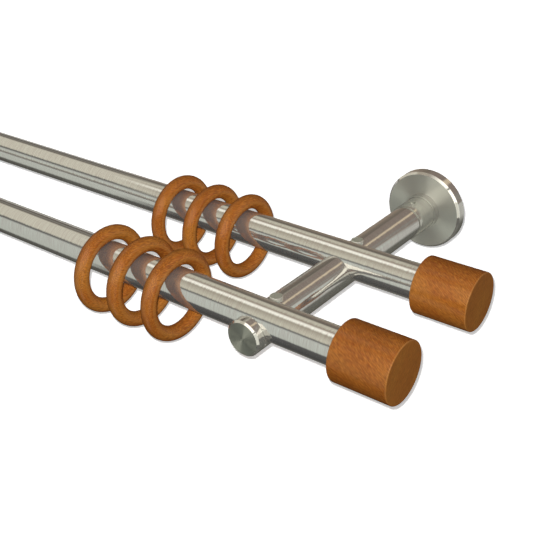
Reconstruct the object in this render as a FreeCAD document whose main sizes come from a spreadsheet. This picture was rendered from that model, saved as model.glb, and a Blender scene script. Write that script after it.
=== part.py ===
import FreeCAD, Part

import os

import Sketcher

# Double curtain pole for wall fixing: two steel poles one behind the other on a pair of bar
# brackets, wooden end pieces and loose wooden rings.
#
# Frame: X runs along the poles, Y runs into the wall, Z is up. The origin lies on the wall plane,
# on the axis of the right-hand bracket.

# Driving sizes in millimetres: name, value, meaning.
SIZES = [
    ("pole_length", 1000, "length of each pole tube"),
    ("pole_diameter", 20, "outer diameter of each pole tube"),
    ("pole_wall", 1, "wall of each pole tube"),
    ("pole_spacing", 75, "rear pole axis to front pole axis"),
    ("rear_reach", 95, "wall to rear pole axis"),
    ("pole_rise", 5, "pole axes above the arm axis"),
    ("end_overhang", 62, "arm axis to the nearer end of the poles"),
    ("arm_diameter", 20, "diameter of the bracket's bar"),
    ("arm_nose", 15.2, "front pole axis to the bar's front face"),
    ("arm_chamfer", 1, "polished chamfer round the bar's front face"),
    ("nose_groove_setback", 6, "front face to the middle of the fine groove"),
    ("nose_groove_depth", 0.4, "depth of the fine groove"),
    ("nose_groove_width", 0.6, "width of the fine groove at the surface"),
    ("saddle_clearance", 0.1, "radial room of a pole in its saddle"),
    ("spigot_diameter", 12, "diameter of the bar's turned-down end"),
    ("spigot_length", 18, "length of the bar's turned-down end"),
    ("hub_diameter", 21, "diameter of the wall socket's barrel"),
    ("hub_reach", 28, "wall to the front of the wall socket's barrel"),
    ("socket_clearance", 0.1, "radial room of the spigot in the socket"),
    ("socket_end_gap", 0.5, "room between the spigot's end and the socket's floor"),
    ("flange_diameter", 45, "diameter of the wall socket's flange"),
    ("flange_thickness", 3, "thickness of the wall socket's flange"),
    ("fixing_circle", 33, "circle through the three fixing holes"),
    ("fixing_hole", 4.5, "diameter of a fixing hole"),
    ("fixing_head", 8.5, "diameter of a fixing hole's countersink"),
    ("fixing_count", 3, "number of fixing holes"),
    ("rosette_flange_room", 1.3, "radial room of the flange inside the cover rosette"),
    ("rosette_depth", 7, "depth of the cover rosette"),
    ("rosette_wall", 1.2, "wall of the cover rosette"),
    ("rosette_chamfer", 1.3, "polished chamfer round the rosette's face"),
    ("rosette_clearance", 0.1, "radial room of the rosette on the barrel"),
    ("collar_reach", 11.5, "wall to the front of the rosette's collar"),
    ("collar_wall", 0.7, "wall of the rosette's collar"),
    ("grub_diameter", 4, "diameter of the grub screw"),
    ("grub_setback", 7, "barrel's front to the grub screw's axis"),
    ("grub_recess", 0.5, "top of the grub screw below the barrel's surface"),
    ("grub_key", 2, "grub screw's hexagon across flats"),
    ("grub_key_depth", 1.6, "depth of the grub screw's hexagon"),
    ("grub_tip_gap", 0.05, "grub screw's tip to the spigot"),
    ("thread_clearance", 0.05, "radial room round each screw's thread"),
    ("clamp_head_diameter", 7, "diameter of a clamp screw's head"),
    ("clamp_head_height", 2.1, "height of a clamp screw's head"),
    ("clamp_head_rounding", 0.5, "rounding of a clamp screw's head"),
    ("clamp_thread_diameter", 4, "thread diameter of a clamp screw"),
    ("clamp_thread_length", 8.5, "thread length of a clamp screw"),
    ("clamp_tip_gap", 0.3, "clamp screw's tip to the floor of its hole"),
    ("clamp_pole_gap", 0.15, "clamp screw's head to the pole that it holds down"),
    ("clamp_spot_depth", 0.7, "depth of the flat under a clamp screw's head"),
    ("clamp_spot_room", 0.2, "radial room of the head in its flat"),
    ("finial_diameter", 32, "diameter of a wooden end piece"),
    ("finial_length", 32, "length of a wooden end piece"),
    ("finial_cover", 12, "length of pole inside a wooden end piece"),
    ("finial_rounding", 0.6, "rounding of the end piece's outer edges"),
    ("finial_bore_clearance", 0.15, "radial room of the pole in the end piece"),
    ("finial_floor_gap", 0.1, "plug's flange to the floor of the end piece's bore"),
    ("finial_screw_diameter", 3.5, "diameter of the wood screw"),
    ("finial_screw_length", 16, "wood screw from under its head to its tip"),
    ("finial_screw_tip_gap", 0.5, "wood screw's tip to the end of its pilot hole"),
    ("finial_screw_head_diameter", 7, "diameter of the wood screw's head"),
    ("finial_screw_head_height", 2.4, "height of the wood screw's head"),
    ("plug_length", 14, "length of the nylon plug inside the tube"),
    ("plug_flange", 1.2, "thickness of the nylon plug's flange"),
    ("plug_core_diameter", 13, "diameter of the nylon plug's core"),
    ("plug_hollow_diameter", 9, "diameter of the hollow in the nylon plug"),
    ("plug_web", 3, "nylon between the hollow and the flange's face"),
    ("plug_rib_width", 1.6, "width of a rib of the nylon plug"),
    ("plug_rib_count", 6, "number of ribs on the nylon plug"),
    ("plug_clearance", 0.1, "radial room of the ribs in the tube"),
    ("ring_outer_diameter", 52, "outer diameter of a ring"),
    ("ring_thickness", 8.6, "diameter of a ring's round section"),
    ("ring_hang_gap", 0.3, "room between a ring and the top of its pole"),
    ("front_ring_start", 57.9, "arm axis to the first ring on the front pole"),
    ("rear_ring_start", 71.9, "arm axis to the first ring on the rear pole"),
    ("ring_pitch", 25.8, "distance from ring to ring"),
]

# Number of rings shown on each pole.
RINGS_PER_POLE = 3

# Places and radii that several pieces share, worked out from the sizes above.
POLE_RADIUS = "Sizes.pole_diameter / 2"
ARM_RADIUS = "Sizes.arm_diameter / 2"
HUB_RADIUS = "Sizes.hub_diameter / 2"
SPIGOT_RADIUS = "Sizes.spigot_diameter / 2"
RING_RADIUS = "(Sizes.ring_outer_diameter - Sizes.ring_thickness) / 2"
SPIGOT_BACK = "Sizes.hub_reach - Sizes.spigot_length"
GRUB_REACH = "Sizes.hub_reach - Sizes.grub_setback"
REACH = {
    "front": "(Sizes.rear_reach + Sizes.pole_spacing)",
    "rear": "Sizes.rear_reach",
}
ARM_FRONT = REACH["front"] + " + Sizes.arm_nose"
CLAMP_SEAT = "Sizes.arm_diameter / 2 - Sizes.clamp_spot_depth"
CLAMP_SETBACK = (
    "sqrt(pow(Sizes.pole_diameter / 2, 2) - pow(Sizes.arm_diameter / 2 - Sizes.clamp_spot_depth"
    " - Sizes.pole_rise, 2)) + Sizes.clamp_head_diameter / 2 + Sizes.clamp_pole_gap"
)
BRACKET_X = {
    "right": "0",
    "left": "2 * Sizes.end_overhang - Sizes.pole_length",
}
POLE_END_X = {
    "right": "Sizes.end_overhang",
    "left": "Sizes.end_overhang - Sizes.pole_length",
}
# Signs that carry a length outward along X, away from the middle of the poles.
OUTWARD = {"right": "+", "left": "-"}
INWARD = {"right": "-", "left": "+"}
# Turn about Z that points a piece's own X axis outward.
OUTWARD_TURN = {"right": 0.0, "left": 180.0}
# Turn about Z that points a bracket piece's own Y axis away from the wall.
ROOM_TURN = 180.0

FULL_TURN = 360.0
UP = FreeCAD.Vector(0, 0, 1)
# Value of a length or radius until its expression is worked out.
NOT_YET_TIED = 1.0
# Largest difference between two radii that count as the same.
SAME_RADIUS = 0.001


def write_sizes(document):
    """Put the driving sizes in the sheet, one named cell each."""
    sheet = document.addObject("Spreadsheet::Sheet", "Sizes")
    for row, (name, value, meaning) in enumerate(SIZES, start=1):
        sheet.set("A%d" % row, meaning)
        sheet.set("B%d" % row, str(value))
        sheet.setAlias("B%d" % row, name)
    document.recompute()
    return sheet


def new_body(document, name):
    """Start a sub-part under its own name."""
    body = document.addObject("PartDesign::Body", name)
    body.Label = name
    return body


def origin_feature(body, role):
    """Find one of the body's own origin planes or axes."""
    return [feature for feature in body.Origin.OriginFeatures if feature.Role == role][0]


def new_sketch(body, name, plane, lift=None):
    """Add a sketch on an origin plane, lifted along its normal where a lift is given."""
    sketch = body.newObject("Sketcher::SketchObject", name)
    sketch.AttachmentSupport = [(origin_feature(body, plane), "")]
    sketch.MapMode = "FlatFace"
    if lift:
        sketch.setExpression("AttachmentOffset.Base.z", lift)
    return sketch


def tie_point(sketch, geometry, point, across, along):
    """Hold one point of a sketch at the two given distances from the sketch's origin."""
    for kind, distance in (("DistanceX", across), ("DistanceY", along)):
        number = sketch.addConstraint(Sketcher.Constraint(kind, -1, 1, geometry, point, NOT_YET_TIED))
        sketch.setExpression("Constraints[%d]" % number, distance)


def add_outline(sketch, corners):
    """Draw a closed outline of straight lines whose corners are tied to the sizes."""
    count = len(corners)
    spread = [FreeCAD.Vector(index + 1.0, (index + 1.0) * (count - index), 0) for index in range(count)]
    for index in range(count):
        sketch.addGeometry(Part.LineSegment(spread[index], spread[(index + 1) % count]), False)
    for index in range(count):
        following = (index + 1) % count
        sketch.addConstraint(Sketcher.Constraint("Coincident", index, 2, following, 1))
    for index, (across, along) in enumerate(corners):
        tie_point(sketch, index, 1, across, along)


def add_circle(sketch, radius, across="0", along="0"):
    """Draw a circle of a tied radius about a tied centre."""
    circle = Part.Circle(FreeCAD.Vector(1, 1, 0), UP, NOT_YET_TIED)
    geometry = sketch.addGeometry(circle, False)
    tie_point(sketch, geometry, 3, across, along)
    number = sketch.addConstraint(Sketcher.Constraint("Radius", geometry, NOT_YET_TIED))
    sketch.setExpression("Constraints[%d]" % number, radius)


def turn_profile(body, sketch, axis):
    """Turn a profile once round one of its sketch's own axes."""
    turned = body.newObject("PartDesign::Revolution", "Turned")
    turned.Profile = sketch
    turned.ReferenceAxis = (sketch, [axis])
    turned.Angle = FULL_TURN
    body.Document.recompute()
    return turned


def cut_through(body, sketch, name, both_ways=False, reverse=False):
    """Cut a sketch's outlines through everything on one side or on both."""
    pocket = body.newObject("PartDesign::Pocket", name)
    pocket.Profile = sketch
    pocket.Type = "ThroughAll"
    if both_ways:
        pocket.SideType = "Symmetric"
    pocket.Reversed = reverse
    body.Document.recompute()
    return pocket


def circular_edges(feature, radius_wanted):
    """List the circular edges of one radius, lowest first, by name."""
    found = []
    for number, edge in enumerate(feature.Shape.Edges, start=1):
        is_circle = edge.Curve.TypeId == "Part::GeomCircle"
        if is_circle and abs(edge.Curve.Radius - radius_wanted) < SAME_RADIUS:
            found.append((edge.Curve.Center.z, "Edge%d" % number))
    return [name for height, name in sorted(found)]


def round_edges(body, feature, names, rounding):
    """Round the named edges of a feature."""
    fillet = body.newObject("PartDesign::Fillet", "Rounded")
    fillet.Base = (feature, names)
    fillet.setExpression("Radius", rounding)
    body.Document.recompute()
    return fillet


def repeat_round(body, feature, axis, count):
    """Repeat one feature evenly round one of the body's own axes."""
    pattern = body.newObject("PartDesign::PolarPattern", "Repeated")
    pattern.Originals = [feature]
    pattern.Axis = (origin_feature(body, axis), [""])
    pattern.Angle = FULL_TURN
    pattern.setExpression("Occurrences", count)
    body.Tip = pattern
    body.Document.recompute()
    return pattern


def place(body, turn, across, along, height):
    """Turn a body about Z and hold its origin at the three given distances."""
    body.Placement = FreeCAD.Placement(FreeCAD.Vector(0, 0, 0), FreeCAD.Rotation(UP, turn))
    body.setExpression("Placement.Base.x", across)
    body.setExpression("Placement.Base.y", along)
    body.setExpression("Placement.Base.z", height)


def build_wall_socket(document, side):
    """Turned steel socket: a flange against the wall and a barrel that takes the bar's spigot."""
    body = new_body(document, "%s_wall_socket" % side)
    profile = new_sketch(body, "Profile", "XY_Plane")
    bore = SPIGOT_RADIUS + " + Sizes.socket_clearance"
    floor = SPIGOT_BACK + " - Sizes.socket_end_gap"
    add_outline(profile, [
        ("0", "0"),
        ("Sizes.flange_diameter / 2", "0"),
        ("Sizes.flange_diameter / 2", "Sizes.flange_thickness"),
        (HUB_RADIUS, "Sizes.flange_thickness"),
        (HUB_RADIUS, "Sizes.hub_reach"),
        (bore, "Sizes.hub_reach"),
        (bore, floor),
        ("0", floor),
    ])
    turn_profile(body, profile, "V_Axis")

    tapping = new_sketch(body, "GrubHole", "XY_Plane")
    add_circle(tapping, "Sizes.grub_diameter / 2 + Sizes.thread_clearance", "0", GRUB_REACH)
    cut_through(body, tapping, "GrubCut", reverse=True)

    centres = new_sketch(body, "FixingCentre", "XZ_Plane", "-Sizes.flange_thickness")
    add_circle(centres, "Sizes.fixing_hole / 2", "0", "Sizes.fixing_circle / 2")
    document.recompute()
    hole = body.newObject("PartDesign::Hole", "FixingHole")
    hole.Profile = centres
    hole.DepthType = "ThroughAll"
    hole.setExpression("Diameter", "Sizes.fixing_hole")
    hole.HoleCutType = "Countersink"
    hole.HoleCutCustomValues = True
    hole.setExpression("HoleCutDiameter", "Sizes.fixing_head")
    hole.Reversed = True
    document.recompute()
    repeat_round(body, hole, "Y_Axis", "Sizes.fixing_count")
    place(body, ROOM_TURN, BRACKET_X[side], "0", "0")
    return body


def build_rosette(document, side):
    """Turned steel cup with a collar that slides over the barrel and hides the flange."""
    body = new_body(document, "%s_rosette" % side)
    profile = new_sketch(body, "Profile", "XY_Plane")
    inside = "Sizes.flange_diameter / 2 + Sizes.rosette_flange_room"
    outside = inside + " + Sizes.rosette_wall"
    hole = HUB_RADIUS + " + Sizes.rosette_clearance"
    collar = hole + " + Sizes.collar_wall"
    add_outline(profile, [
        (inside, "0"),
        (outside, "0"),
        (outside, "Sizes.rosette_depth - Sizes.rosette_chamfer"),
        (outside + " - Sizes.rosette_chamfer", "Sizes.rosette_depth"),
        (collar, "Sizes.rosette_depth"),
        (collar, "Sizes.collar_reach"),
        (hole, "Sizes.collar_reach"),
        (hole, "Sizes.rosette_depth - Sizes.rosette_wall"),
        (inside, "Sizes.rosette_depth - Sizes.rosette_wall"),
    ])
    turn_profile(body, profile, "V_Axis")
    place(body, ROOM_TURN, BRACKET_X[side], "0", "0")
    return body


def build_arm(document, side):
    """Solid steel bar with a turned nose, two saddles for the poles and two tapped flats."""
    body = new_body(document, "%s_arm" % side)
    profile = new_sketch(body, "Profile", "XY_Plane")
    groove = ARM_FRONT + " - Sizes.nose_groove_setback"
    half_groove = "Sizes.nose_groove_width / 2"
    add_outline(profile, [
        ("0", SPIGOT_BACK),
        (SPIGOT_RADIUS, SPIGOT_BACK),
        (SPIGOT_RADIUS, "Sizes.hub_reach"),
        (ARM_RADIUS, "Sizes.hub_reach"),
        (ARM_RADIUS, groove + " - " + half_groove),
        (ARM_RADIUS + " - Sizes.nose_groove_depth", groove),
        (ARM_RADIUS, groove + " + " + half_groove),
        (ARM_RADIUS, ARM_FRONT + " - Sizes.arm_chamfer"),
        (ARM_RADIUS + " - Sizes.arm_chamfer", ARM_FRONT),
        ("0", ARM_FRONT),
    ])
    turn_profile(body, profile, "V_Axis")

    saddles = new_sketch(body, "Saddles", "YZ_Plane")
    for reach in REACH.values():
        add_circle(saddles, POLE_RADIUS + " + Sizes.saddle_clearance", reach, "Sizes.pole_rise")
    cut_through(body, saddles, "SaddleCut", both_ways=True)

    flats = new_sketch(body, "ScrewFlats", "XY_Plane", CLAMP_SEAT)
    for reach in REACH.values():
        add_circle(flats, "Sizes.clamp_head_diameter / 2 + Sizes.clamp_spot_room", "0",
                   reach + " - (" + CLAMP_SETBACK + ")")
    cut_through(body, flats, "FlatCut", reverse=True)

    hole_floor = CLAMP_SEAT + " - Sizes.clamp_thread_length - Sizes.clamp_tip_gap"
    tappings = new_sketch(body, "ScrewHoles", "XY_Plane", hole_floor)
    for reach in REACH.values():
        add_circle(tappings, "Sizes.clamp_thread_diameter / 2 + Sizes.thread_clearance", "0",
                   reach + " - (" + CLAMP_SETBACK + ")")
    cut_through(body, tappings, "HoleCut", reverse=True)
    place(body, ROOM_TURN, BRACKET_X[side], "0", "0")
    return body


def build_grub_screw(document, side):
    """Hexagon-socket grub screw on top of the barrel that holds the spigot."""
    body = new_body(document, "%s_grub_screw" % side)
    length = HUB_RADIUS + " - " + SPIGOT_RADIUS + " - Sizes.grub_tip_gap - Sizes.grub_recess"
    shank = new_sketch(body, "Shank", "XY_Plane")
    add_circle(shank, "Sizes.grub_diameter / 2")
    pad = body.newObject("PartDesign::Pad", "ShankPad")
    pad.Profile = shank
    pad.setExpression("Length", length)
    document.recompute()

    key = new_sketch(body, "Key", "XY_Plane", length)
    corner = "Sizes.grub_key / sqrt(3)"
    half_corner = "Sizes.grub_key / sqrt(3) / 2"
    half_flat = "Sizes.grub_key / 2"
    add_outline(key, [
        (corner, "0"),
        (half_corner, half_flat),
        ("-" + half_corner, half_flat),
        ("-" + corner, "0"),
        ("-" + half_corner, "-" + half_flat),
        (half_corner, "-" + half_flat),
    ])
    pocket = body.newObject("PartDesign::Pocket", "KeyCut")
    pocket.Profile = key
    pocket.Type = "Length"
    pocket.setExpression("Length", "Sizes.grub_key_depth")
    document.recompute()
    place(body, 0.0, BRACKET_X[side], "-(" + GRUB_REACH + ")", SPIGOT_RADIUS + " + Sizes.grub_tip_gap")
    return body


def build_clamp_screw(document, sheet, side, row):
    """Round-headed screw that stands behind a pole and holds it down in its saddle."""
    body = new_body(document, "%s_%s_clamp_screw" % (side, row))
    profile = new_sketch(body, "Profile", "XZ_Plane")
    top = "Sizes.clamp_thread_length + Sizes.clamp_head_height"
    add_outline(profile, [
        ("0", "0"),
        ("Sizes.clamp_thread_diameter / 2", "0"),
        ("Sizes.clamp_thread_diameter / 2", "Sizes.clamp_thread_length"),
        ("Sizes.clamp_head_diameter / 2", "Sizes.clamp_thread_length"),
        ("Sizes.clamp_head_diameter / 2", top),
        ("0", top),
    ])
    turned = turn_profile(body, profile, "V_Axis")
    top_edge = circular_edges(turned, sheet.clamp_head_diameter / 2)[-1]
    round_edges(body, turned, [top_edge], "Sizes.clamp_head_rounding")
    along = "-(" + REACH[row] + " - (" + CLAMP_SETBACK + "))"
    place(body, 0.0, BRACKET_X[side], along, CLAMP_SEAT + " - Sizes.clamp_thread_length")
    return body


def build_pole(document, row):
    """Round steel tube."""
    body = new_body(document, "%s_pole" % row)
    section = new_sketch(body, "Section", "YZ_Plane")
    add_circle(section, POLE_RADIUS)
    add_circle(section, POLE_RADIUS + " - Sizes.pole_wall")
    pad = body.newObject("PartDesign::Pad", "Tube")
    pad.Profile = section
    pad.setExpression("Length", "Sizes.pole_length")
    document.recompute()
    place(body, 0.0, POLE_END_X["left"], "-" + REACH[row], "Sizes.pole_rise")
    return body


def build_pole_plug(document, row, side):
    """Ribbed nylon plug pressed into the tube's end, with a hollow for the wood screw's head."""
    body = new_body(document, "%s_%s_pole_plug" % (row, side))
    profile = new_sketch(body, "Profile", "XY_Plane")
    face = "Sizes.plug_length + Sizes.plug_flange"
    hollow = "Sizes.plug_hollow_diameter / 2"
    screw_hole = "Sizes.finial_screw_diameter / 2 + Sizes.thread_clearance"
    add_outline(profile, [
        ("0", hollow),
        ("0", "Sizes.plug_core_diameter / 2"),
        ("Sizes.plug_length", "Sizes.plug_core_diameter / 2"),
        ("Sizes.plug_length", POLE_RADIUS),
        (face, POLE_RADIUS),
        (face, screw_hole),
        (face + " - Sizes.plug_web", screw_hole),
        (face + " - Sizes.plug_web", hollow),
    ])
    turn_profile(body, profile, "H_Axis")

    rib = new_sketch(body, "RibSection", "YZ_Plane")
    root = "(Sizes.plug_core_diameter + Sizes.plug_hollow_diameter) / 4"
    crest = POLE_RADIUS + " - Sizes.pole_wall - Sizes.plug_clearance"
    half_rib = "Sizes.plug_rib_width / 2"
    add_outline(rib, [
        ("-" + half_rib, root),
        (half_rib, root),
        (half_rib, crest),
        ("-" + half_rib, crest),
    ])
    pad = body.newObject("PartDesign::Pad", "Rib")
    pad.Profile = rib
    pad.setExpression("Length", "Sizes.plug_length")
    document.recompute()
    repeat_round(body, pad, "X_Axis", "Sizes.plug_rib_count")
    start = POLE_END_X[side] + " " + INWARD[side] + " Sizes.plug_length"
    place(body, OUTWARD_TURN[side], start, "-" + REACH[row], "Sizes.pole_rise")
    return body


def build_finial_screw(document, row, side):
    """Wood screw through the plug's web into the end piece."""
    body = new_body(document, "%s_%s_finial_screw" % (row, side))
    profile = new_sketch(body, "Profile", "XY_Plane")
    head = "Sizes.finial_screw_head_height"
    tip = head + " + Sizes.finial_screw_length"
    shank = "Sizes.finial_screw_diameter / 2"
    add_outline(profile, [
        ("0", "0"),
        ("0", "Sizes.finial_screw_head_diameter / 2"),
        (head, "Sizes.finial_screw_head_diameter / 2"),
        (head, shank),
        (tip + " - Sizes.finial_screw_diameter", shank),
        (tip, "0"),
    ])
    turn_profile(body, profile, "H_Axis")
    start = (POLE_END_X[side] + " " + OUTWARD[side] + " (Sizes.plug_flange - Sizes.plug_web - "
             + head + ")")
    place(body, OUTWARD_TURN[side], start, "-" + REACH[row], "Sizes.pole_rise")
    return body


def build_finial(document, sheet, row, side):
    """Turned wooden barrel with a blind bore that takes the pole's end and a pilot hole."""
    body = new_body(document, "%s_%s_finial" % (row, side))
    profile = new_sketch(body, "Profile", "XY_Plane")
    bore = POLE_RADIUS + " + Sizes.finial_bore_clearance"
    floor = "Sizes.finial_cover + Sizes.plug_flange + Sizes.finial_floor_gap"
    pilot = "Sizes.finial_screw_diameter / 2 + Sizes.thread_clearance"
    pilot_end = ("Sizes.finial_cover + Sizes.plug_flange - Sizes.plug_web"
                 " + Sizes.finial_screw_length + Sizes.finial_screw_tip_gap")
    add_outline(profile, [
        ("0", bore),
        ("0", "Sizes.finial_diameter / 2"),
        ("Sizes.finial_length", "Sizes.finial_diameter / 2"),
        ("Sizes.finial_length", "0"),
        (pilot_end, "0"),
        (pilot_end, pilot),
        (floor, pilot),
        (floor, bore),
    ])
    turned = turn_profile(body, profile, "H_Axis")
    outer_edges = circular_edges(turned, sheet.finial_diameter / 2)
    round_edges(body, turned, outer_edges, "Sizes.finial_rounding")
    start = POLE_END_X[side] + " " + INWARD[side] + " Sizes.finial_cover"
    place(body, OUTWARD_TURN[side], start, "-" + REACH[row], "Sizes.pole_rise")
    return body


def build_ring(document, row, number):
    """Turned wooden ring that hangs on its pole and slides along it."""
    body = new_body(document, "%s_ring_%d" % (row, number))
    section = new_sketch(body, "Section", "XY_Plane")
    add_circle(section, "Sizes.ring_thickness / 2", "0", RING_RADIUS)
    turn_profile(body, section, "H_Axis")
    across = "-(Sizes.%s_ring_start + %d * Sizes.ring_pitch)" % (row, number - 1)
    inner_radius = "(" + RING_RADIUS + " - Sizes.ring_thickness / 2)"
    height = "Sizes.pole_rise + " + POLE_RADIUS + " + Sizes.ring_hang_gap - " + inner_radius
    place(body, 0.0, across, "-" + REACH[row], height)
    return body


def build_bracket(document, sheet, side):
    """All the pieces of one bracket."""
    pieces = [
        build_wall_socket(document, side),
        build_rosette(document, side),
        build_arm(document, side),
        build_grub_screw(document, side),
    ]
    for row in REACH:
        pieces.append(build_clamp_screw(document, sheet, side, row))
    return pieces


def build_pole_set(document, sheet, row):
    """One pole with what closes its two ends and what hangs on it."""
    pieces = [build_pole(document, row)]
    for side in ("right", "left"):
        pieces.append(build_pole_plug(document, row, side))
        pieces.append(build_finial_screw(document, row, side))
        pieces.append(build_finial(document, sheet, row, side))
    for number in range(1, RINGS_PER_POLE + 1):
        pieces.append(build_ring(document, row, number))
    return pieces


def check_document(document, pieces):
    """Stop if a feature failed or a piece is not one sound solid."""
    for item in document.Objects:
        if "Invalid" in item.State or "Error" in item.State:
            raise RuntimeError("failed feature: %s %s" % (item.Name, item.State))
    for piece in pieces:
        shape = piece.Shape
        if shape.isNull() or not shape.isValid() or len(shape.Solids) != 1:
            raise RuntimeError("unsound piece: " + piece.Label)


def write_pieces(pieces):
    """Write each piece to its own file."""
    os.makedirs("parts", exist_ok=True)
    for piece in pieces:
        piece.Shape.exportStep(os.path.join("parts", piece.Label + ".step"))


def main():
    """Build the whole curtain pole and write its pieces."""
    document = FreeCAD.newDocument("DoubleCurtainPole")
    sheet = write_sizes(document)
    pieces = []
    for side in BRACKET_X:
        pieces += build_bracket(document, sheet, side)
    for row in REACH:
        pieces += build_pole_set(document, sheet, row)
    document.recompute()
    check_document(document, pieces)
    write_pieces(pieces)
    for piece in pieces:
        box = piece.Shape.BoundBox
        print("%-28s volume %10.1f  x %8.2f %8.2f  y %8.2f %8.2f  z %7.2f %7.2f" % (
            piece.Label, piece.Shape.Volume, box.XMin, box.XMax, box.YMin, box.YMax, box.ZMin, box.ZMax))


main()
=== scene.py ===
import logging
import math
from dataclasses import dataclass
from enum import Enum
from typing import Any, Optional, Sequence

import bpy
from mathutils import Matrix, Vector


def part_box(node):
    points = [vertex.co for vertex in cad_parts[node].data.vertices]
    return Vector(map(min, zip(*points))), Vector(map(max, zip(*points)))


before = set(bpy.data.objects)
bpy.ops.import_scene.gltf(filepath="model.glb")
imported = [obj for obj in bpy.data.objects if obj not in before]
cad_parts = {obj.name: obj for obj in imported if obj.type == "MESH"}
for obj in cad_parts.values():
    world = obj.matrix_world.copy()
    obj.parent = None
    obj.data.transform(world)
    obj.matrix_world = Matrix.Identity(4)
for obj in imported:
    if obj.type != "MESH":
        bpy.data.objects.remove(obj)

LOG = logging.getLogger("double_curtain_pole")

# All places are in metres in the part's own frame: X runs along the poles towards the end that the
# photograph shows, Y into the wall and Z up.
MM = 0.001
WHITE = (1.0, 1.0, 1.0, 1.0)

Point = tuple[float, float, float]
Span = tuple[float, float]
# What a socket can be linked to.
Source = bpy.types.Node | bpy.types.NodeSocket


class Side(Enum):
    """The two ends of the curtain pole."""

    RIGHT = "right"
    LEFT = "left"


class Row(Enum):
    """The two poles, counted from the room."""

    FRONT = "front"
    REAR = "rear"


class Axis(Enum):
    """Axis that a piece was turned round in the lathe."""

    X = "X"
    Y = "Y"
    Z = "Z"

    def direction(self) -> Point:
        """Give the axis as a unit vector."""
        return (float(self is Axis.X), float(self is Axis.Y), float(self is Axis.Z))


def linear_colour(code: str) -> tuple[float, float, float, float]:
    """Turn an sRGB hex colour into Blender's linear colour.

    Args:
        code: Six hex digits after a hash sign.

    Returns:
        Linear red, green and blue, and an alpha of one.
    """
    channels = []
    for start in (1, 3, 5):
        value = int(code[start:start + 2], 16) / 255
        channels.append(value / 12.92 if value <= 0.04045 else ((value + 0.055) / 1.055) ** 2.4)
    return (channels[0], channels[1], channels[2], 1.0)


def fill_ramp(ramp: bpy.types.ColorRamp, stops: Sequence[tuple[float, str]]) -> None:
    """Set a colour ramp's stops.

    Args:
        ramp: The ramp of a fresh colour ramp node.
        stops: Places along the ramp with their sRGB hex colours.
    """
    while len(ramp.elements) < len(stops):
        ramp.elements.new(1.0)
    for element, (place, code) in zip(ramp.elements, sorted(stops)):
        element.position = place
        element.color = linear_colour(code)


class Shader:
    """The node tree of one material, light or world, built from its inputs onwards.

    A Mix node's sockets go by number: inputs 2 and 3 are numbers and come out at 0, inputs 4 and 5
    are vectors and come out at 1, and inputs 6 and 7 are colours and come out at 2.
    """

    def __init__(self, tree: bpy.types.NodeTree) -> None:
        """Empty the tree."""
        self.tree = tree
        tree.nodes.clear()

    def add(self, kind: str, settings: Optional[dict[str, Any]] = None,
            **sockets: Any) -> bpy.types.Node:
        """Add a node with its settings, constants and links.

        Args:
            kind: Blender's name for the node, after its ShaderNode.
            settings: Node properties to set before the sockets. A colour ramp takes its stops.
            **sockets: Input sockets by name, with spaces as underscores, or i0, i1 and so on by
                number. An output socket is linked, a node is linked by its first output, and
                anything else is set as a constant.

        Returns:
            The new node.
        """
        node = self.tree.nodes.new("ShaderNode" + kind)
        for name, value in (settings or {}).items():
            if name == "color_ramp":
                fill_ramp(node.color_ramp, value)
            else:
                setattr(node, name, value)
        for name, value in sockets.items():
            by_number = name[0] == "i" and name[1:].isdigit()
            socket = node.inputs[int(name[1:]) if by_number else name.replace("_", " ")]
            if isinstance(value, bpy.types.Node):
                value = value.outputs[0]
            if isinstance(value, bpy.types.NodeSocket):
                self.tree.links.new(value, socket)
            else:
                socket.default_value = value
        return node


def new_material(name: str) -> tuple[bpy.types.Material, Shader]:
    """Make an empty node material.

    Args:
        name: Name for the material and the surface's process.

    Returns:
        The material and its node tree.
    """
    material = bpy.data.materials.new(name)
    material.use_nodes = True
    return material, Shader(material.node_tree)


def squareness(shader: Shader, normal: Source, axis: Axis) -> bpy.types.Node:
    """Tell how squarely a surface faces along an axis.

    Args:
        shader: The material's node tree.
        normal: The surface's normal.
        axis: The axis.

    Returns:
        A node that gives one on an end face and zero on a turned side.
    """
    facing = shader.add("VectorMath", {"operation": "DOT_PRODUCT"}, i0=normal, i1=axis.direction())
    return shader.add("Math", {"operation": "ABSOLUTE"}, i0=facing.outputs["Value"])


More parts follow.
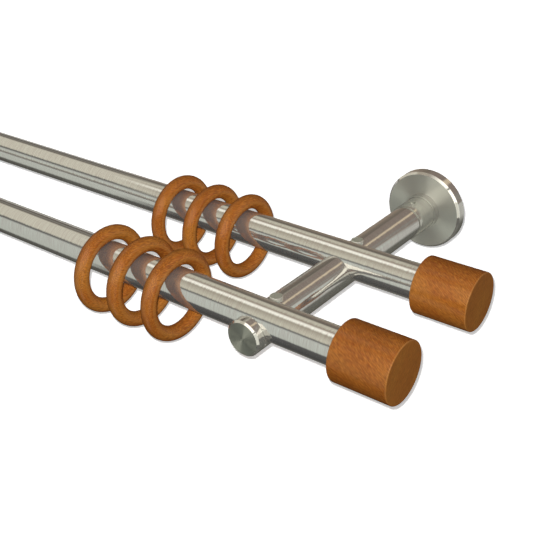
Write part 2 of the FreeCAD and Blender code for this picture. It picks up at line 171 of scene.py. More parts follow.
@dataclass(frozen=True)
class TurnedSteel:
    """Stainless steel whose lathe or belt marks run round one axis.

    A crisp reflection under a grey matt veil. Its bands have fine saw-tooth edges, because each
    mark leans a little differently, and the deeper marks are painted a little darker and warmer,
    painted shade in their grooves, which gives a fine comb of lines. An end face is painted darker,
    painted shade, and shows lighter and darker wedges.
    """

    axis: Axis = Axis.X
    colour: str = "#DEDED8"
    # The deeper marks' colour: painted shade, darker and warmer, in their grooves.
    shaded_mark_colour: str = "#CFC8C3"
    # An end face's colour: painted shade, darker than the sides.
    shaded_face_colour: str = "#A8A89E"
    roughness: float = 0.07
    veil: float = 0.18
    anisotropy: float = 0.5
    face_roughness: float = 0.42
    face_anisotropy: float = 1.0
    # A surface this square to the axis counts as an end face.
    face_from: float = 0.9
    # Real marks are about 0.05 mm apart, too fine for the picture, so they are drawn coarser.
    mark_mm: float = 0.36
    mark_run_mm: float = 9.0
    mark_lean: float = 0.09
    mark_depths: Span = (0.38, 0.72)
    # The marks lie across the tangent's own direction, as a share of a full turn.
    mark_turn: float = 0.25

    def marks(self, shader: Shader, place: Source, centre: Point) -> bpy.types.Node:
        """Draw the marks round the axis.

        Args:
            shader: The material's node tree.
            place: The place on the piece.
            centre: A point on the axis.

        Returns:
            The marks' noise.
        """
        along = self.axis.direction()
        across = tuple(1.0 - part for part in along)
        local = shader.add("VectorMath", {"operation": "SUBTRACT"}, i0=place, i1=centre)
        height = shader.add("VectorMath", {"operation": "DOT_PRODUCT"}, i0=local, i1=along)
        off_axis = shader.add("VectorMath", {"operation": "MULTIPLY"}, i0=local, i1=across)
        radius = shader.add("VectorMath", {"operation": "LENGTH"}, i0=off_axis)
        # Distance along the turned profile, whether it runs along the axis or across a face.
        run = shader.add("Math", {"operation": "ADD"},
                         i0=height.outputs["Value"], i1=radius.outputs["Value"])
        run_marks = shader.add("Math", {"operation": "MULTIPLY"},
                               i0=run, i1=1.0 / (self.mark_mm * MM))
        round_marks = shader.add("VectorMath", {"operation": "SCALE"},
                                 Vector=off_axis, Scale=1.0 / (self.mark_run_mm * MM))
        return shader.add("TexNoise", {"noise_dimensions": "4D"},
                          Vector=round_marks, W=run_marks, Scale=1.0, Detail=1.0)

    def leaning(self, shader: Shader, normal: Source, marks: Source) -> bpy.types.Node:
        """Lean the normal a little round the axis at each mark.

        Args:
            shader: The material's node tree.
            normal: The surface's normal.
            marks: The marks' noise.

        Returns:
            The leaning normal.
        """
        lean = shader.add("Math", {"operation": "MULTIPLY_ADD"},
                          i0=marks, i1=self.mark_lean, i2=-self.mark_lean / 2)
        around = shader.add("VectorMath", {"operation": "CROSS_PRODUCT"},
                            i0=self.axis.direction(), i1=normal)
        nudge = shader.add("VectorMath", {"operation": "SCALE"}, Vector=around, Scale=lean)
        nudged = shader.add("VectorMath", {"operation": "ADD"}, i0=normal, i1=nudge)
        return shader.add("VectorMath", {"operation": "NORMALIZE"}, i0=nudged)

    def material(self, name: str, centre: Point) -> bpy.types.Material:
        """Build the finish for one piece.

        Args:
            name: The material's name.
            centre: A point on the piece's axis.

        Returns:
            The material.
        """
        material, shader = new_material(name)
        place = shader.add("TexCoord").outputs
        marks = self.marks(shader, place["Object"], centre)
        flat = squareness(shader, place["Normal"], self.axis)
        on_face = shader.add("Math", {"operation": "GREATER_THAN"}, i0=flat, i1=self.face_from)
        roughness = shader.add("Mix", {"data_type": "FLOAT"}, Factor=on_face,
                               i2=self.roughness, i3=self.face_roughness)
        anisotropy = shader.add("Mix", {"data_type": "FLOAT"}, Factor=on_face,
                                i2=self.anisotropy, i3=self.face_anisotropy)
        # The deeper marks take their darker colour, painted shade in the grooves.
        shallow, deep = self.mark_depths
        depth = shader.add("MapRange", Value=marks, From_Min=shallow, From_Max=deep)
        brushed = shader.add("Mix", {"data_type": "RGBA"}, Factor=depth,
                             i6=linear_colour(self.colour), i7=linear_colour(self.shaded_mark_colour))
        # An end face takes its darker colour, painted shade.
        colour = shader.add("Mix", {"data_type": "RGBA"}, Factor=on_face,
                            i6=brushed.outputs[2], i7=linear_colour(self.shaded_face_colour)).outputs[2]
        tangent = shader.add("Tangent", {"direction_type": "RADIAL", "axis": self.axis.value})
        crisp = shader.add(
            "BsdfPrincipled", Base_Color=colour, Metallic=1.0, Roughness=roughness,
            Anisotropic=anisotropy, Anisotropic_Rotation=self.mark_turn, Tangent=tangent,
            Normal=self.leaning(shader, place["Normal"], marks))
        matt = shader.add("BsdfDiffuse", Color=colour)
        steel = shader.add("MixShader", Fac=self.veil, i1=crisp, i2=matt)
        shader.add("OutputMaterial", Surface=steel)
        return material


@dataclass(frozen=True)
class Lathe:
    """A piece turned round an axis along the poles: a point on the axis, and its radius."""

    centre: Point
    radius: float

    def unroll(self, shader: Shader, place: Source) -> bpy.types.Node:
        """Unroll the turned surface, so that strokes keep their length all round.

        Args:
            shader: The material's node tree.
            place: The place on the piece.

        Returns:
            The distance along the turned profile, the distance round the piece from its top over
            the front, and a number of the piece's own. The seam is below.
        """
        x, y, z = self.centre
        local = shader.add("Mapping", Vector=place, Location=(-x, y, -z), Scale=(1.0, -1.0, 1.0))
        parts = shader.add("SeparateXYZ", Vector=local).outputs
        angle = shader.add("Math", {"operation": "ARCTAN2"}, i0=parts["Y"], i1=parts["Z"])
        round_piece = shader.add("Math", {"operation": "MULTIPLY"}, i0=angle, i1=self.radius)
        off_axis = shader.add("VectorMath", {"operation": "MULTIPLY"}, i0=local, i1=(0.0, 1.0, 1.0))
        depth = shader.add("VectorMath", {"operation": "LENGTH"}, i0=off_axis)
        profile = shader.add("Math", {"operation": "ADD"}, i0=parts["X"], i1=depth.outputs["Value"])
        return shader.add("CombineXYZ", X=profile, Y=round_piece, Z=x + y)


@dataclass(frozen=True)
class Strokes:
    """Strokes that run with the wood's grain.

    They have a length and a width, a span of the noise over which they come in, the largest share
    of their own colour that they give, and octaves of finer strokes on them.
    """

    length_mm: float
    width_mm: float
    fade: Span
    share: float = 1.0
    detail: float = 0.0

    def draw(self, shader: Shader, along: Source) -> bpy.types.Node:
        """Draw the strokes.

        Args:
            shader: The material's node tree.
            along: The place, with the grain along its first axis.

        Returns:
            A node that gives the share of the strokes' colour.
        """
        stretched = shader.add("Mapping", Vector=along,
                               Scale=(self.width_mm / self.length_mm, 1.0, 1.0))
        noise = shader.add("TexNoise", Vector=stretched,
                           Scale=1.0 / (self.width_mm * MM), Detail=self.detail)
        bare, full = self.fade
        return shader.add("MapRange", Value=noise, From_Min=bare, From_Max=full, To_Max=self.share)


@dataclass(frozen=True)
class LacqueredBeech:
    """Stained beech under satin lacquer.

    An orange brown of dense fine fibres with short dark flecks, the wood's rays, and a faint satin
    shine. The wood is paler on an end face, and the rounded edges take the same paler colour, a
    painted highlight.
    """

    # Real fibres and rays are about 0.05 mm wide, too fine for the picture, and drawn coarser.
    fibres: Strokes
    flecks: Strokes
    board: Strokes = Strokes(length_mm=36.7, width_mm=11.0, fade=(0.30, 0.70))
    light: str = "#BC762C"
    mid: str = "#B06220"
    dark: str = "#A4561A"
    fibre: str = "#C88032"
    fleck: str = "#6A360A"
    # Paler wood for an end face, and a painted highlight on the rounded edges.
    edge: str = "#C08240"
    # How square to the poles a surface is where an edge begins, and where an end face begins.
    edge_from: float = 0.15
    end_from: float = 0.97
    # Shares of the paler colour: a painted highlight on the rounded edges, and paler wood on an end
    # face.
    edge_highlight_share: float = 0.0
    end_share: float = 0.35
    fleck_depth_mm: float = 0.03
    fleck_bump: float = 0.5
    ior: float = 1.5
    roughness: float = 0.5
    gloss: float = 0.045
    gloss_roughness: float = 0.3

    def material(self, name: str, grain: Point, end_grain: Point,
                 lathe: Optional[Lathe] = None) -> bpy.types.Material:
        """Build the finish for one piece.

        Args:
            name: The material's name.
            grain: The grain's direction on the sides.
            end_grain: The strokes' direction on the end faces.
            lathe: Where the sides are unrolled, the axis and radius that they were turned to.

        Returns:
            The material.
        """
        material, shader = new_material(name)
        place = shader.add("TexCoord").outputs
        side_place = lathe.unroll(shader, place["Object"]) if lathe else place["Object"]
        flat = squareness(shader, place["Normal"], Axis.X)
        on_end = shader.add("Math", {"operation": "GREATER_THAN"}, i0=flat, i1=self.end_from)
        along = shader.add("Mix", {"data_type": "VECTOR"}, Factor=on_end,
                           i4=self.turned_to(shader, side_place, grain),
                           i5=self.turned_to(shader, place["Object"], end_grain)).outputs[1]

        tones = ((0.0, self.dark), (0.5, self.mid), (1.0, self.light))
        board = shader.add("ValToRGB", {"color_ramp": tones}, Fac=self.board.draw(shader, along))
        fibred = shader.add("Mix", {"data_type": "RGBA"}, Factor=self.fibres.draw(shader, along),
                            i6=board, i7=linear_colour(self.fibre))
        flecks = self.flecks.draw(shader, along)
        flecked = shader.add("Mix", {"data_type": "RGBA"}, Factor=flecks,
                             i6=fibred.outputs[2], i7=linear_colour(self.fleck))

        # The rounded edges between the sides and an end face take the paler colour, a painted
        # highlight.
        off_side = shader.add("Math", {"operation": "GREATER_THAN"}, i0=flat, i1=self.edge_from)
        on_edge = shader.add("Math", {"operation": "SUBTRACT"}, i0=off_side, i1=on_end)
        edge_highlight_share = shader.add("Math", {"operation": "MULTIPLY"}, i0=on_edge, i1=self.edge_highlight_share)
        pale_end_and_edge_highlight = shader.add("Math", {"operation": "MULTIPLY_ADD"},
                          i0=on_end, i1=self.end_share, i2=edge_highlight_share)
        wood = shader.add("Mix", {"data_type": "RGBA"}, Factor=pale_end_and_edge_highlight,
                          i6=flecked.outputs[2], i7=linear_colour(self.edge))

        sunk = shader.add("Bump", {"invert": True}, Height=flecks,
                          Strength=self.fleck_bump, Distance=self.fleck_depth_mm * MM)
        # The shine is a layer of its own, so that it stays even towards the outlines.
        stained = shader.add("BsdfPrincipled", Base_Color=wood.outputs[2], IOR=self.ior,
                             Roughness=self.roughness, Specular_IOR_Level=0.0, Normal=sunk)
        satin = shader.add("BsdfAnisotropic", Roughness=self.gloss_roughness)
        lacquered = shader.add("MixShader", Fac=self.gloss, i1=stained, i2=satin)
        shader.add("OutputMaterial", Surface=lacquered)
        return material

    def turned_to(self, shader: Shader, place: Source, grain: Point) -> bpy.types.Node:
        """Turn a place so that the grain runs along the first axis.

        Args:
            shader: The material's node tree.
            place: The place to turn.
            grain: The grain's direction.

        Returns:
            The turned place.
        """
        first = Vector(Axis.X.direction())
        turn = Vector(grain).normalized().rotation_difference(first).to_euler()
        return shader.add("Mapping", Vector=place, Rotation=tuple(turn))


@dataclass(frozen=True)
class MouldedNylon:
    """Natural nylon, injection moulded: milky, with a faint satin grain."""

    colour: str = "#DCDAD0"
    ior: float = 1.53
    roughness: float = 0.5
    milkiness: float = 0.1
    milk_depth_mm: float = 1.0
    grain_mm: float = 0.3
    grain_depth_mm: float = 0.01
    grain_bump: float = 0.3

    def material(self, name: str) -> bpy.types.Material:
        """Build the finish.

        Args:
            name: The material's name.

        Returns:
            The material.
        """
        material, shader = new_material(name)
        place = shader.add("TexCoord").outputs["Object"]
        grain = shader.add("TexNoise", Vector=place, Scale=1.0 / (self.grain_mm * MM), Detail=2.0)
        bump = shader.add("Bump", Height=grain,
                          Strength=self.grain_bump, Distance=self.grain_depth_mm * MM)
        nylon = shader.add(
            "BsdfPrincipled", Base_Color=linear_colour(self.colour), Roughness=self.roughness,
            IOR=self.ior, Subsurface_Weight=self.milkiness,
            Subsurface_Scale=self.milk_depth_mm * MM, Normal=bump)
        shader.add("OutputMaterial", Surface=nylon)
        return material


def dress(node_name: str, material: bpy.types.Material) -> None:
    """Give a CAD piece one material all over.

    Args:
        node_name: The piece's name in the frame.
        material: Its finish.
    """
    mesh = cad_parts[node_name].data
    mesh.materials.clear()
    mesh.materials.append(material)


def middle(node_name: str) -> Point:
    """Give the middle of a CAD piece's box, which lies on its axis."""
    low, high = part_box(node_name)
    return tuple((low + high) / 2)


def half_width(node_name: str) -> float:
    """Give half the width of a CAD piece's box, which is a turned piece's radius."""
    low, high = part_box(node_name)
    return float(high[1] - low[1]) / 2


@dataclass(frozen=True)
class Bracket:
    """One bracket: wall socket, rosette, bar and its three screws."""

    side: Side
    # The bar is turned bright: crisp bands run along it, and its front face is painted darkest,
    # painted shade.
    bar_steel: TurnedSteel = TurnedSteel(axis=Axis.Y, shaded_face_colour="#9A9C92")
    # The socket is belt brushed, and so a little paler and duller than the bar.
    socket_steel: TurnedSteel = TurnedSteel(axis=Axis.Y, colour="#E0E2D6", veil=0.28)
    # The rosette's face is turned flat and fine, and stays pale, with only light painted shade.
    rosette_steel: TurnedSteel = TurnedSteel(axis=Axis.Y, shaded_face_colour="#C0C0B8")
    # The screws are satin, with no marks to be seen and nothing crisp in them.
    # Their ends are painted a darker colour, painted shade.
    screw_steel: TurnedSteel = TurnedSteel(
        axis=Axis.Z, colour="#F0F2E6", shaded_face_colour="#BEC0B4", roughness=0.45, veil=0.35,
        anisotropy=0.2, face_roughness=0.6, face_anisotropy=0.0)

    def build(self) -> list[str]:
        """Dress the bracket's pieces.

        Returns:
            The names of the pieces.
        """
        finishes = {
            "arm": (self.bar_steel, "bar_stainless_steel_turned"),
            "wall_socket": (self.socket_steel, "socket_stainless_steel_brushed"),
            "rosette": (self.rosette_steel, "rosette_stainless_steel_turned"),
            "grub_screw": (self.screw_steel, "grub_screw_steel_satin"),
            "front_clamp_screw": (self.screw_steel, "front_clamp_screw_steel_satin"),
            "rear_clamp_screw": (self.screw_steel, "rear_clamp_screw_steel_satin"),
        }
        pieces = []
        for piece, (steel, finish) in finishes.items():
            node = "%s_%s" % (self.side.value, piece)
            dress(node, steel.material("%s_%s" % (self.side.value, finish), middle(node)))
            pieces.append(node)
        return pieces


@dataclass(frozen=True)
class PoleRun:
    """One pole with its end pieces and its rings."""

    row: Row
    ring_count: int = 3
    # The tube is brushed round: long bands with a fine comb of lines across them.
    tube_steel: TurnedSteel = TurnedSteel()
    # The wood screws are rolled, so their shine is softer.
    screw_steel: TurnedSteel = TurnedSteel(roughness=0.3)
    plug_nylon: MouldedNylon = MouldedNylon()
    # The end pieces have short fine strokes that run aslant over the sides and the end face.
    finial_beech: LacqueredBeech = LacqueredBeech(
        fibres=Strokes(length_mm=3.2, width_mm=0.26, fade=(0.38, 0.66), share=0.8, detail=1.0),
        flecks=Strokes(length_mm=2.2, width_mm=0.22, fade=(0.36, 0.70), share=0.62),
        # The rounded edges carry a painted highlight.
        edge_highlight_share=0.5)
    finial_grain: Point = (0.84, 0.54, 0.0)
    finial_end_grain: Point = (0.0, -0.62, -0.78)
    # The rings have longer and bolder strokes.
    ring_beech: LacqueredBeech = LacqueredBeech(
        fibres=Strokes(length_mm=4.6, width_mm=0.34, fade=(0.38, 0.66), share=0.8, detail=1.0),
        flecks=Strokes(length_mm=3.4, width_mm=0.34, fade=(0.36, 0.70), share=0.62))
    # The rings were sawn across the board, and the grain leans more from ring to ring.
    ring_grain: Point = (0.15, 0.97, 0.0)
    ring_grain_lean: Point = (0.0, 0.0, -0.1)

    def dress_tube(self) -> list[str]:
        """Dress the tube.

        Returns:
            The tube's name.
        """
        tube = "%s_pole" % self.row.value
        finish = "%s_tube_stainless_steel_brushed" % self.row.value
        dress(tube, self.tube_steel.material(finish, middle(tube)))
        return [tube]

    def dress_ends(self) -> list[str]:
        """Dress the plugs, their screws and the wooden end pieces.

        Returns:
            The names of the pieces.
        """
        nylon = self.plug_nylon.material("%s_plug_nylon_moulded" % self.row.value)
        pieces = []
        for side in Side:
            plug, screw, finial = ("%s_%s_%s" % (self.row.value, side.value, piece)
                                   for piece in ("pole_plug", "finial_screw", "finial"))
            dress(plug, nylon)
            dress(screw, self.screw_steel.material("%s_steel_rolled" % screw, middle(screw)))
            dress(finial, self.finial_beech.material(
                "%s_beech_lacquered" % finial, self.finial_grain, self.finial_end_grain,
                Lathe(middle(finial), half_width(finial))))
            pieces += [plug, screw, finial]
        return pieces

    def dress_rings(self) -> list[str]:
        """Dress the rings.

        Returns:
            The names of the rings.
        """
        pieces = []
        for number in range(1, self.ring_count + 1):
            ring = "%s_ring_%d" % (self.row.value, number)
            grain = tuple(Vector(self.ring_grain) + number * Vector(self.ring_grain_lean))
            dress(ring, self.ring_beech.material("%s_beech_lacquered" % ring, grain, grain))
            pieces.append(ring)
        return pieces

    def build(self) -> list[str]:
        """Dress all the pieces and give their names."""
        return self.dress_tube() + self.dress_ends() + self.dress_rings()


def add_object(name: str, data: bpy.types.ID) -> bpy.types.Object:
    """Add an object to the scene.

    Args:
        name: The object's name.
        data: Its mesh, lamp or camera.

    Returns:
        The new object.
    """
    item = bpy.data.objects.new(name, data)
    bpy.context.collection.objects.link(item)
    return item


def hide_from(item: bpy.types.Object, *rays: str) -> None:
    """Hide an object from kinds of rays, named as in Blender's visible_ settings."""
    for ray in rays:
        setattr(item, "visible_" + ray, False)


def looked_at(shader: Shader) -> bpy.types.Node:
    """Tell a ray that looks, straight, in metal or through glass, from one that gathers light.

    Args:
        shader: The node tree.

    Returns:
        A node that gives one for a ray that looks, and zero for the others.
    """
    ray = shader.add("LightPath").outputs
    seen = shader.add("Math", {"operation": "MAXIMUM"},
                      i0=ray["Is Camera Ray"], i1=ray["Is Glossy Ray"])
    return shader.add("Math", {"operation": "MAXIMUM"}, i0=seen, i1=ray["Is Transmission Ray"])


@dataclass(frozen=True)
class View:
    """The photograph's view, found by fitting the part's outlines to it."""

    azimuth: float = 38.719
    elevation: float = 29.1864
    roll: float = -1.8488
    lens: float = 59.4125
    sensor: float = 36.0
    distance: float = 0.44499
    target: Point = (-0.003078, -0.157846, 0.025424)
    clip: Span = (0.01, 100.0)

    def axes(self) -> tuple[Vector, Vector, Vector]:
        """Work out the view's right, up and back directions.

        Returns:
            Three unit vectors.
        """
        azimuth, elevation, roll = (
            math.radians(angle) for angle in (self.azimuth, self.elevation, self.roll))
        back = Vector((math.sin(azimuth) * math.cos(elevation),
                       -math.cos(azimuth) * math.cos(elevation), math.sin(elevation)))
        right = Vector((math.cos(azimuth), math.sin(azimuth), 0.0))
        up = back.cross(right)
        return (right * math.cos(roll) + up * math.sin(roll),
                up * math.cos(roll) - right * math.sin(roll), back)

    def eye(self) -> Vector:
        """Give the camera's place."""
        return Vector(self.target) + self.axes()[2] * self.distance

    def build(self) -> None:
        """Add the camera."""
        camera = bpy.data.cameras.new("camera")
        camera.lens = self.lens
        camera.sensor_width = self.sensor
        camera.clip_start, camera.clip_end = self.clip
        holder = add_object("camera", camera)
        turn = Matrix(self.axes()).transposed().to_4x4()
        holder.matrix_world = Matrix.Translation(self.eye()) @ turn
        bpy.context.scene.camera = holder


class Cloth(Enum):
    """The plain cloths that the tent is hung with."""

    BLACK = "#101010"
    CHARCOAL = "#303030"
    SHADE = "#3A3A34"
    GREY = "#A2A6A0"
    STONE = "#848480"
    PALE = "#BCBAB8"
    WHITE = "#E6E4DA"
    LINEN = "#B4B0A2"
    CANVAS = "#ACA898"
    SAND = "#B4A48A"
    TAUPE = "#888070"
    WALL = "#7C6E60"
    DUSK = "#6C6A64"
    EARTH = "#685A50"
    UMBER = "#5C5246"
    BROWN = "#403628"


# Cloths with their places, lowest first. Each fades into the next.
Bands = tuple[tuple[float, Cloth], ...]


@dataclass(frozen=True)
class Panel:
    """A plain panel hung in the tent.

    It has a reach along the poles in metres, angles round them in degrees, and soft edges.
    """

    reach: Span
    angles: Span
    colour: str
    reach_blend: float = 0.06
    angle_blend: float = 1.5

    def share(self, shader: Shader, length: Source, angle: Source) -> bpy.types.Node:
        """Work out where the panel hangs.

        Args:
            shader: The tent's node tree.
            length: The place along the poles.
            angle: The angle round the poles.

        Returns:
            A node that gives one inside the panel and zero outside.
        """
        share = None
        for value, (low, high), blend in ((length, self.reach, self.reach_blend),
                                          (angle, self.angles, self.angle_blend)):
            for edge, rise in ((low, blend), (high, -blend)):
                inside = shader.add("MapRange", Value=value,
                                    From_Min=edge - rise, From_Max=edge + rise)
                share = inside if share is None else shader.add(
                    "Math", {"operation": "MULTIPLY"}, i0=share, i1=inside)
        return share


@dataclass(frozen=True)
class Tent:
    """The long round tent of cloths and cards that only the steel's reflections see.

    Its bands go by the angle round the poles in degrees: 0 is the room, 90 overhead, 180 the wall
    and -90 below. It has three parts along the poles, which meet at far_to and near_from.
    """

    radius: float = 2.6
    half_length: float = 14.0
    steps: int = 180
    centre: Point = (-0.4, -0.1325, 0.0)
    strength: float = 1.7
    # The middle part, which the right-hand end of the poles mirrors.
    long_bands: Bands = (
        # The wall, down to a black floor that makes the tubes' dark lower edge.
        (-180.0, Cloth.WALL), (-130.0, Cloth.DUSK), (-90.0, Cloth.BLACK), (-40.0, Cloth.BLACK),
        # Grey in front, up to a thin dark gap.
        (-32.0, Cloth.GREY), (18.0, Cloth.GREY), (27.0, Cloth.BLACK),
        # Canvas that falls off to taupe, and the bright slit overhead.
        (35.0, Cloth.CANVAS), (42.0, Cloth.CANVAS), (74.0, Cloth.TAUPE),
        (84.0, Cloth.WHITE), (92.0, Cloth.WHITE), (103.0, Cloth.WALL),
        # A second canvas and the brown top of the wall.
        (118.0, Cloth.CANVAS), (130.0, Cloth.CANVAS), (142.0, Cloth.BROWN), (180.0, Cloth.WALL),
    )
    # The far part, which the poles mirror to the left of the rings.
    far_bands: Bands = (
        # Pale wall, dark floor and grey front as before, with the gap a little higher.
        (-180.0, Cloth.PALE), (-130.0, Cloth.SHADE), (-70.0, Cloth.SHADE),
        (-57.0, Cloth.GREY), (22.0, Cloth.GREY), (33.0, Cloth.BLACK), (36.0, Cloth.SHADE),
        # One even linen overhead, and brown stripes behind it.
        (45.0, Cloth.LINEN), (117.0, Cloth.LINEN), (130.0, Cloth.BROWN), (142.0, Cloth.DUSK),
        (154.0, Cloth.BROWN), (161.0, Cloth.BROWN), (180.0, Cloth.PALE),
    )
    # The near part, which the brackets mirror: a broad white front over a dark one.
    near_bands: Bands = (
        (-180.0, Cloth.STONE), (-158.0, Cloth.STONE), (-149.0, Cloth.SHADE), (-66.0, Cloth.SHADE),
        (-60.0, Cloth.UMBER), (-45.0, Cloth.UMBER), (-34.0, Cloth.CHARCOAL),
        (4.0, Cloth.CHARCOAL), (12.0, Cloth.WHITE), (58.0, Cloth.WHITE),
        (66.0, Cloth.UMBER), (180.0, Cloth.UMBER),
    )
    near_gain: float = 1.5
    far_to: float = -2.5
    near_from: float = -0.9
    zone_blend: float = 0.2
    # Over the wall hang a wide and a thin strip that the bracket bars mirror. They run round the
    # tent, so their bands go by the place along the poles in metres.
    cross_bands: Bands = (
        (-1.2, Cloth.EARTH), (0.2, Cloth.EARTH), (0.34, Cloth.SAND), (0.58, Cloth.SAND),
        (0.74, Cloth.EARTH), (1.3, Cloth.EARTH), (1.63, Cloth.DUSK), (1.77, Cloth.EARTH),
        (1.85, Cloth.EARTH), (2.08, Cloth.GREY), (5.0, Cloth.GREY),
    )
    cross_from_angle: float = 92.0
    cross_from: float = -1.0
    # Three pale cards low in front, and a narrow and a long dark one to the right.
    panels: tuple[Panel, ...] = (
        Panel(reach=(-1.0, -0.25), angles=(-36.0, 12.0), colour="#C8C9BE"),
        Panel(reach=(-0.4, 0.9), angles=(-60.0, -34.0), colour="#D4D5CA"),
        Panel(reach=(1.8, 9.0), angles=(-45.0, 20.0), colour="#C4C5BA"),
        Panel(reach=(1.5, 1.75), angles=(6.0, 60.0), colour="#50524A"),
        Panel(reach=(0.9, 9.0), angles=(-66.0, -45.0), colour="#303028"),
    )

    def mesh(self) -> bpy.types.Mesh:
        """Make the closed round tent.

        Returns:
            The mesh.
        """
        vertices = []
        for end in (-self.half_length, self.half_length):
            for step in range(self.steps):
                angle = 2 * math.pi * step / self.steps
                vertices.append(Vector(self.centre) + Vector(
                    (end, -self.radius * math.cos(angle), self.radius * math.sin(angle))))
        faces = [tuple(range(self.steps)), tuple(range(self.steps, 2 * self.steps))]
        for step in range(self.steps):
            following = (step + 1) % self.steps
            faces.append((step, following, following + self.steps, step + self.steps))
        mesh = bpy.data.meshes.new("reflection_tent")
        mesh.from_pydata(vertices, [], faces)
        return mesh

    def banded(self, shader: Shader, value: Source, bands: Bands) -> bpy.types.Node:
        """Colour the tent by bands.

        Args:
            shader: The tent's node tree.
            value: What picks the band, an angle or a place.
            bands: The bands' places, lowest first, with their cloths.

        Returns:
            The colour.
        """
        low, high = bands[0][0], bands[-1][0]
        share = shader.add("MapRange", Value=value, From_Min=low, From_Max=high)
        stops = [((place - low) / (high - low), cloth.value) for place, cloth in bands]
        return shader.add("ValToRGB", {"color_ramp": stops}, Fac=share)

    def past(self, shader: Shader, length: Source, edge: float) -> bpy.types.Node:
        """Tell the part of the tent on the right-hand side of an edge.

        Args:
            shader: The tent's node tree.
            length: The place along the poles.
            edge: The edge's place.

        Returns:
            A node that gives one past the edge and zero before it.
        """
        return shader.add("MapRange", Value=length, From_Min=edge - self.zone_blend,
                          From_Max=edge + self.zone_blend)

    def material(self) -> bpy.types.Material:
        """Build the tent's glowing cloths.

        Returns:
            The material.
        """
        material, shader = new_material("tent_fabric_lit")
        place = shader.add("TexCoord").outputs["Object"]
        length = shader.add("SeparateXYZ", Vector=place).outputs["X"]
        local = shader.add("VectorMath", {"operation": "SUBTRACT"}, i0=place, i1=self.centre)
        parts = shader.add("SeparateXYZ", Vector=local).outputs
        outward = shader.add("Math", {"operation": "MULTIPLY"}, i0=parts["Y"], i1=-1.0)
        turn = shader.add("Math", {"operation": "ARCTAN2"}, i0=parts["Z"], i1=outward)
        angle = shader.add("Math", {"operation": "DEGREES"}, i0=turn)

        near = self.banded(shader, angle, self.near_bands)
        colour = shader.add("VectorMath", {"operation": "SCALE"}, Vector=near, Scale=self.near_gain)
        for edge, bands in ((self.near_from, self.long_bands), (self.far_to, self.far_bands)):
            colour = shader.add("Mix", {"data_type": "RGBA"},
                                Factor=self.past(shader, length, edge),
                                i6=self.banded(shader, angle, bands), i7=colour).outputs[2]

        over_wall = shader.add("Math", {"operation": "GREATER_THAN"},
                               i0=angle, i1=self.cross_from_angle)
        crossing = shader.add("Math", {"operation": "MULTIPLY"},
                              i0=over_wall, i1=self.past(shader, length, self.cross_from))
        colour = shader.add("Mix", {"data_type": "RGBA"}, Factor=crossing, i6=colour,
                            i7=self.banded(shader, length, self.cross_bands)).outputs[2]
        for panel in self.panels:
            colour = shader.add("Mix", {"data_type": "RGBA"},
                                Factor=panel.share(shader, length, angle),
                                i6=colour, i7=linear_colour(panel.colour)).outputs[2]
        glow = shader.add("Emission", Color=colour, Strength=self.strength)
        shader.add("OutputMaterial", Surface=glow)
        return material

    def build(self) -> None:
        """Put up the tent."""
        mesh = self.mesh()
        mesh.materials.append(self.material())
        tent = add_object("reflection_tent", mesh)
        hide_from(tent, "camera", "diffuse", "shadow", "transmission", "volume_scatter")


@dataclass(frozen=True)
class Floor:
    """The plain pale floor, which keeps the object's shadow."""

    drop: float = 0.060
    half: float = 60.0
    glow: float = 0.35
    paper_gain: float = 1.5

    def material(self) -> bpy.types.Material:
        """Build the paper.

        Returns:
            The material.
        """
        material, shader = new_material("floor_paper_matt")
        glow = shader.add("MapRange", Value=looked_at(shader), To_Max=self.glow)
        white = shader.add("Emission", Color=WHITE, Strength=glow)
        # A toon surface is as bright far away, where the light grazes it, as below the object.
        gain = self.paper_gain
        paper = shader.add("BsdfToon", {"component": "DIFFUSE"},
                           Color=(gain, gain, gain, 1.0), Size=1.0, Smooth=0.0)
        both = shader.add("AddShader", i0=white, i1=paper)
        # The floor can't be seen from below, so that views from there show the object too.
        under = shader.add("NewGeometry").outputs["Backfacing"]
        clear = shader.add("BsdfTransparent")
        surface = shader.add("MixShader", Fac=under, i1=both, i2=clear)
        shader.add("OutputMaterial", Surface=surface)
        return material

    def build(self) -> None:
        """Lay the floor."""
        mesh = bpy.data.meshes.new("floor")
        vertices = [(x * self.half, y * self.half, -self.drop)
                    for x, y in ((-1, -1), (1, -1), (1, 1), (-1, 1))]
        mesh.from_pydata(vertices, [], [(0, 1, 2, 3)])
        mesh.materials.append(self.material())
        floor = add_object("floor", mesh)
        hide_from(floor, "glossy", "diffuse", "shadow")


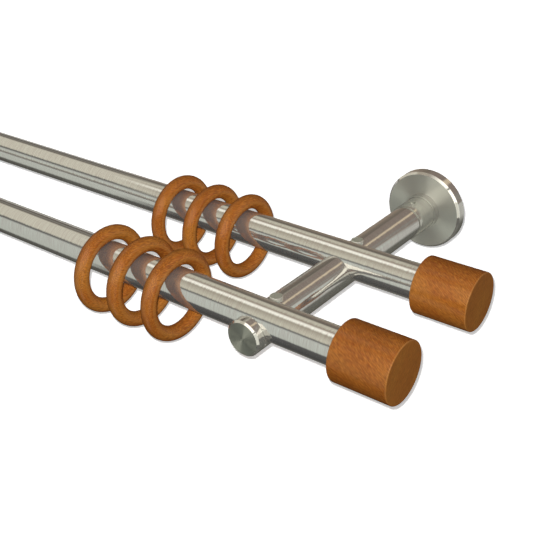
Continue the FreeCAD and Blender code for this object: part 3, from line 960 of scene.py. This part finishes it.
@dataclass(frozen=True)
class Lights:
    """The lamps, and the world's soft fill and white background."""

    fill: float = 0.14
    low_fill: float = 0.06
    # Heights between which the fill grows, where -1 is straight down and 1 overhead.
    fill_heights: Span = (-0.6, 0.2)
    key_radiance: float = 0.85
    key_right: float = -0.0042
    key_up: float = 0.0085
    back_radiance: float = 0.40
    back_distance: float = 0.60
    lamp_radius: float = 0.002

    def build_world(self) -> None:
        """White for what looks at the world, and a fill, weaker from below, for what it lights."""
        world = bpy.data.worlds.new("studio")
        bpy.context.scene.world = world
        world.use_nodes = True
        shader = Shader(world.node_tree)
        place = shader.add("TexCoord").outputs["Generated"]
        height = shader.add("SeparateXYZ", Vector=place).outputs["Z"]
        low, high = self.fill_heights
        sky = shader.add("MapRange", Value=height, From_Min=low, From_Max=high,
                         To_Min=self.low_fill, To_Max=self.fill)
        strength = shader.add("MapRange", Value=looked_at(shader), To_Min=sky, To_Max=1.0)
        white = shader.add("Background", Color=WHITE, Strength=strength)
        shader.add("OutputWorld", Surface=white)

    def hang_lamp(self, name: str, place: Vector, radiance: float) -> None:
        """Hang a small lamp whose light doesn't fall off with distance.

        Args:
            name: The lamp's name.
            place: Its centre.
            radiance: What a white matt surface that faces it gives off.
        """
        lamp = bpy.data.lights.new(name, "POINT")
        lamp.shadow_soft_size = self.lamp_radius
        lamp.energy = 1.0
        lamp.use_nodes = True
        shader = Shader(lamp.node_tree)
        # With constant falloff, this strength gives a surface that faces the lamp the radiance.
        falloff = shader.add("LightFalloff", Strength=4 * math.pi * math.pi * radiance)
        glow = shader.add("Emission", Strength=falloff.outputs["Constant"])
        shader.add("OutputLight", Surface=glow)
        holder = add_object(name, lamp)
        holder.location = place
        hide_from(holder, "glossy")

    def build(self, view: View) -> None:
        """Light the scene: the key close above and to the left of the view, a weaker lamp opposite.

        The second lamp reaches only what the photograph's view doesn't show.

        Args:
            view: The photograph's view.
        """
        self.build_world()
        right, up, back = view.axes()
        key = view.eye() + right * self.key_right + up * self.key_up
        self.hang_lamp("key", key, self.key_radiance)
        opposite = Vector(view.target) - back * self.back_distance
        self.hang_lamp("opposite", opposite, self.back_radiance)


def main() -> None:
    """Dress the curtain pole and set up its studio."""
    logging.basicConfig(level=logging.INFO)
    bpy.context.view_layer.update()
    bpy.context.scene.view_settings.view_transform = "Standard"
    for part in [Bracket(side) for side in Side] + [PoleRun(row) for row in Row]:
        for piece in part.build():
            LOG.info("dressed %s", piece)
    view = View()
    view.build()
    Floor().build()
    Tent().build()
    Lights().build(view)
    LOG.info("studio built")


if __name__ == "__main__":
    main()
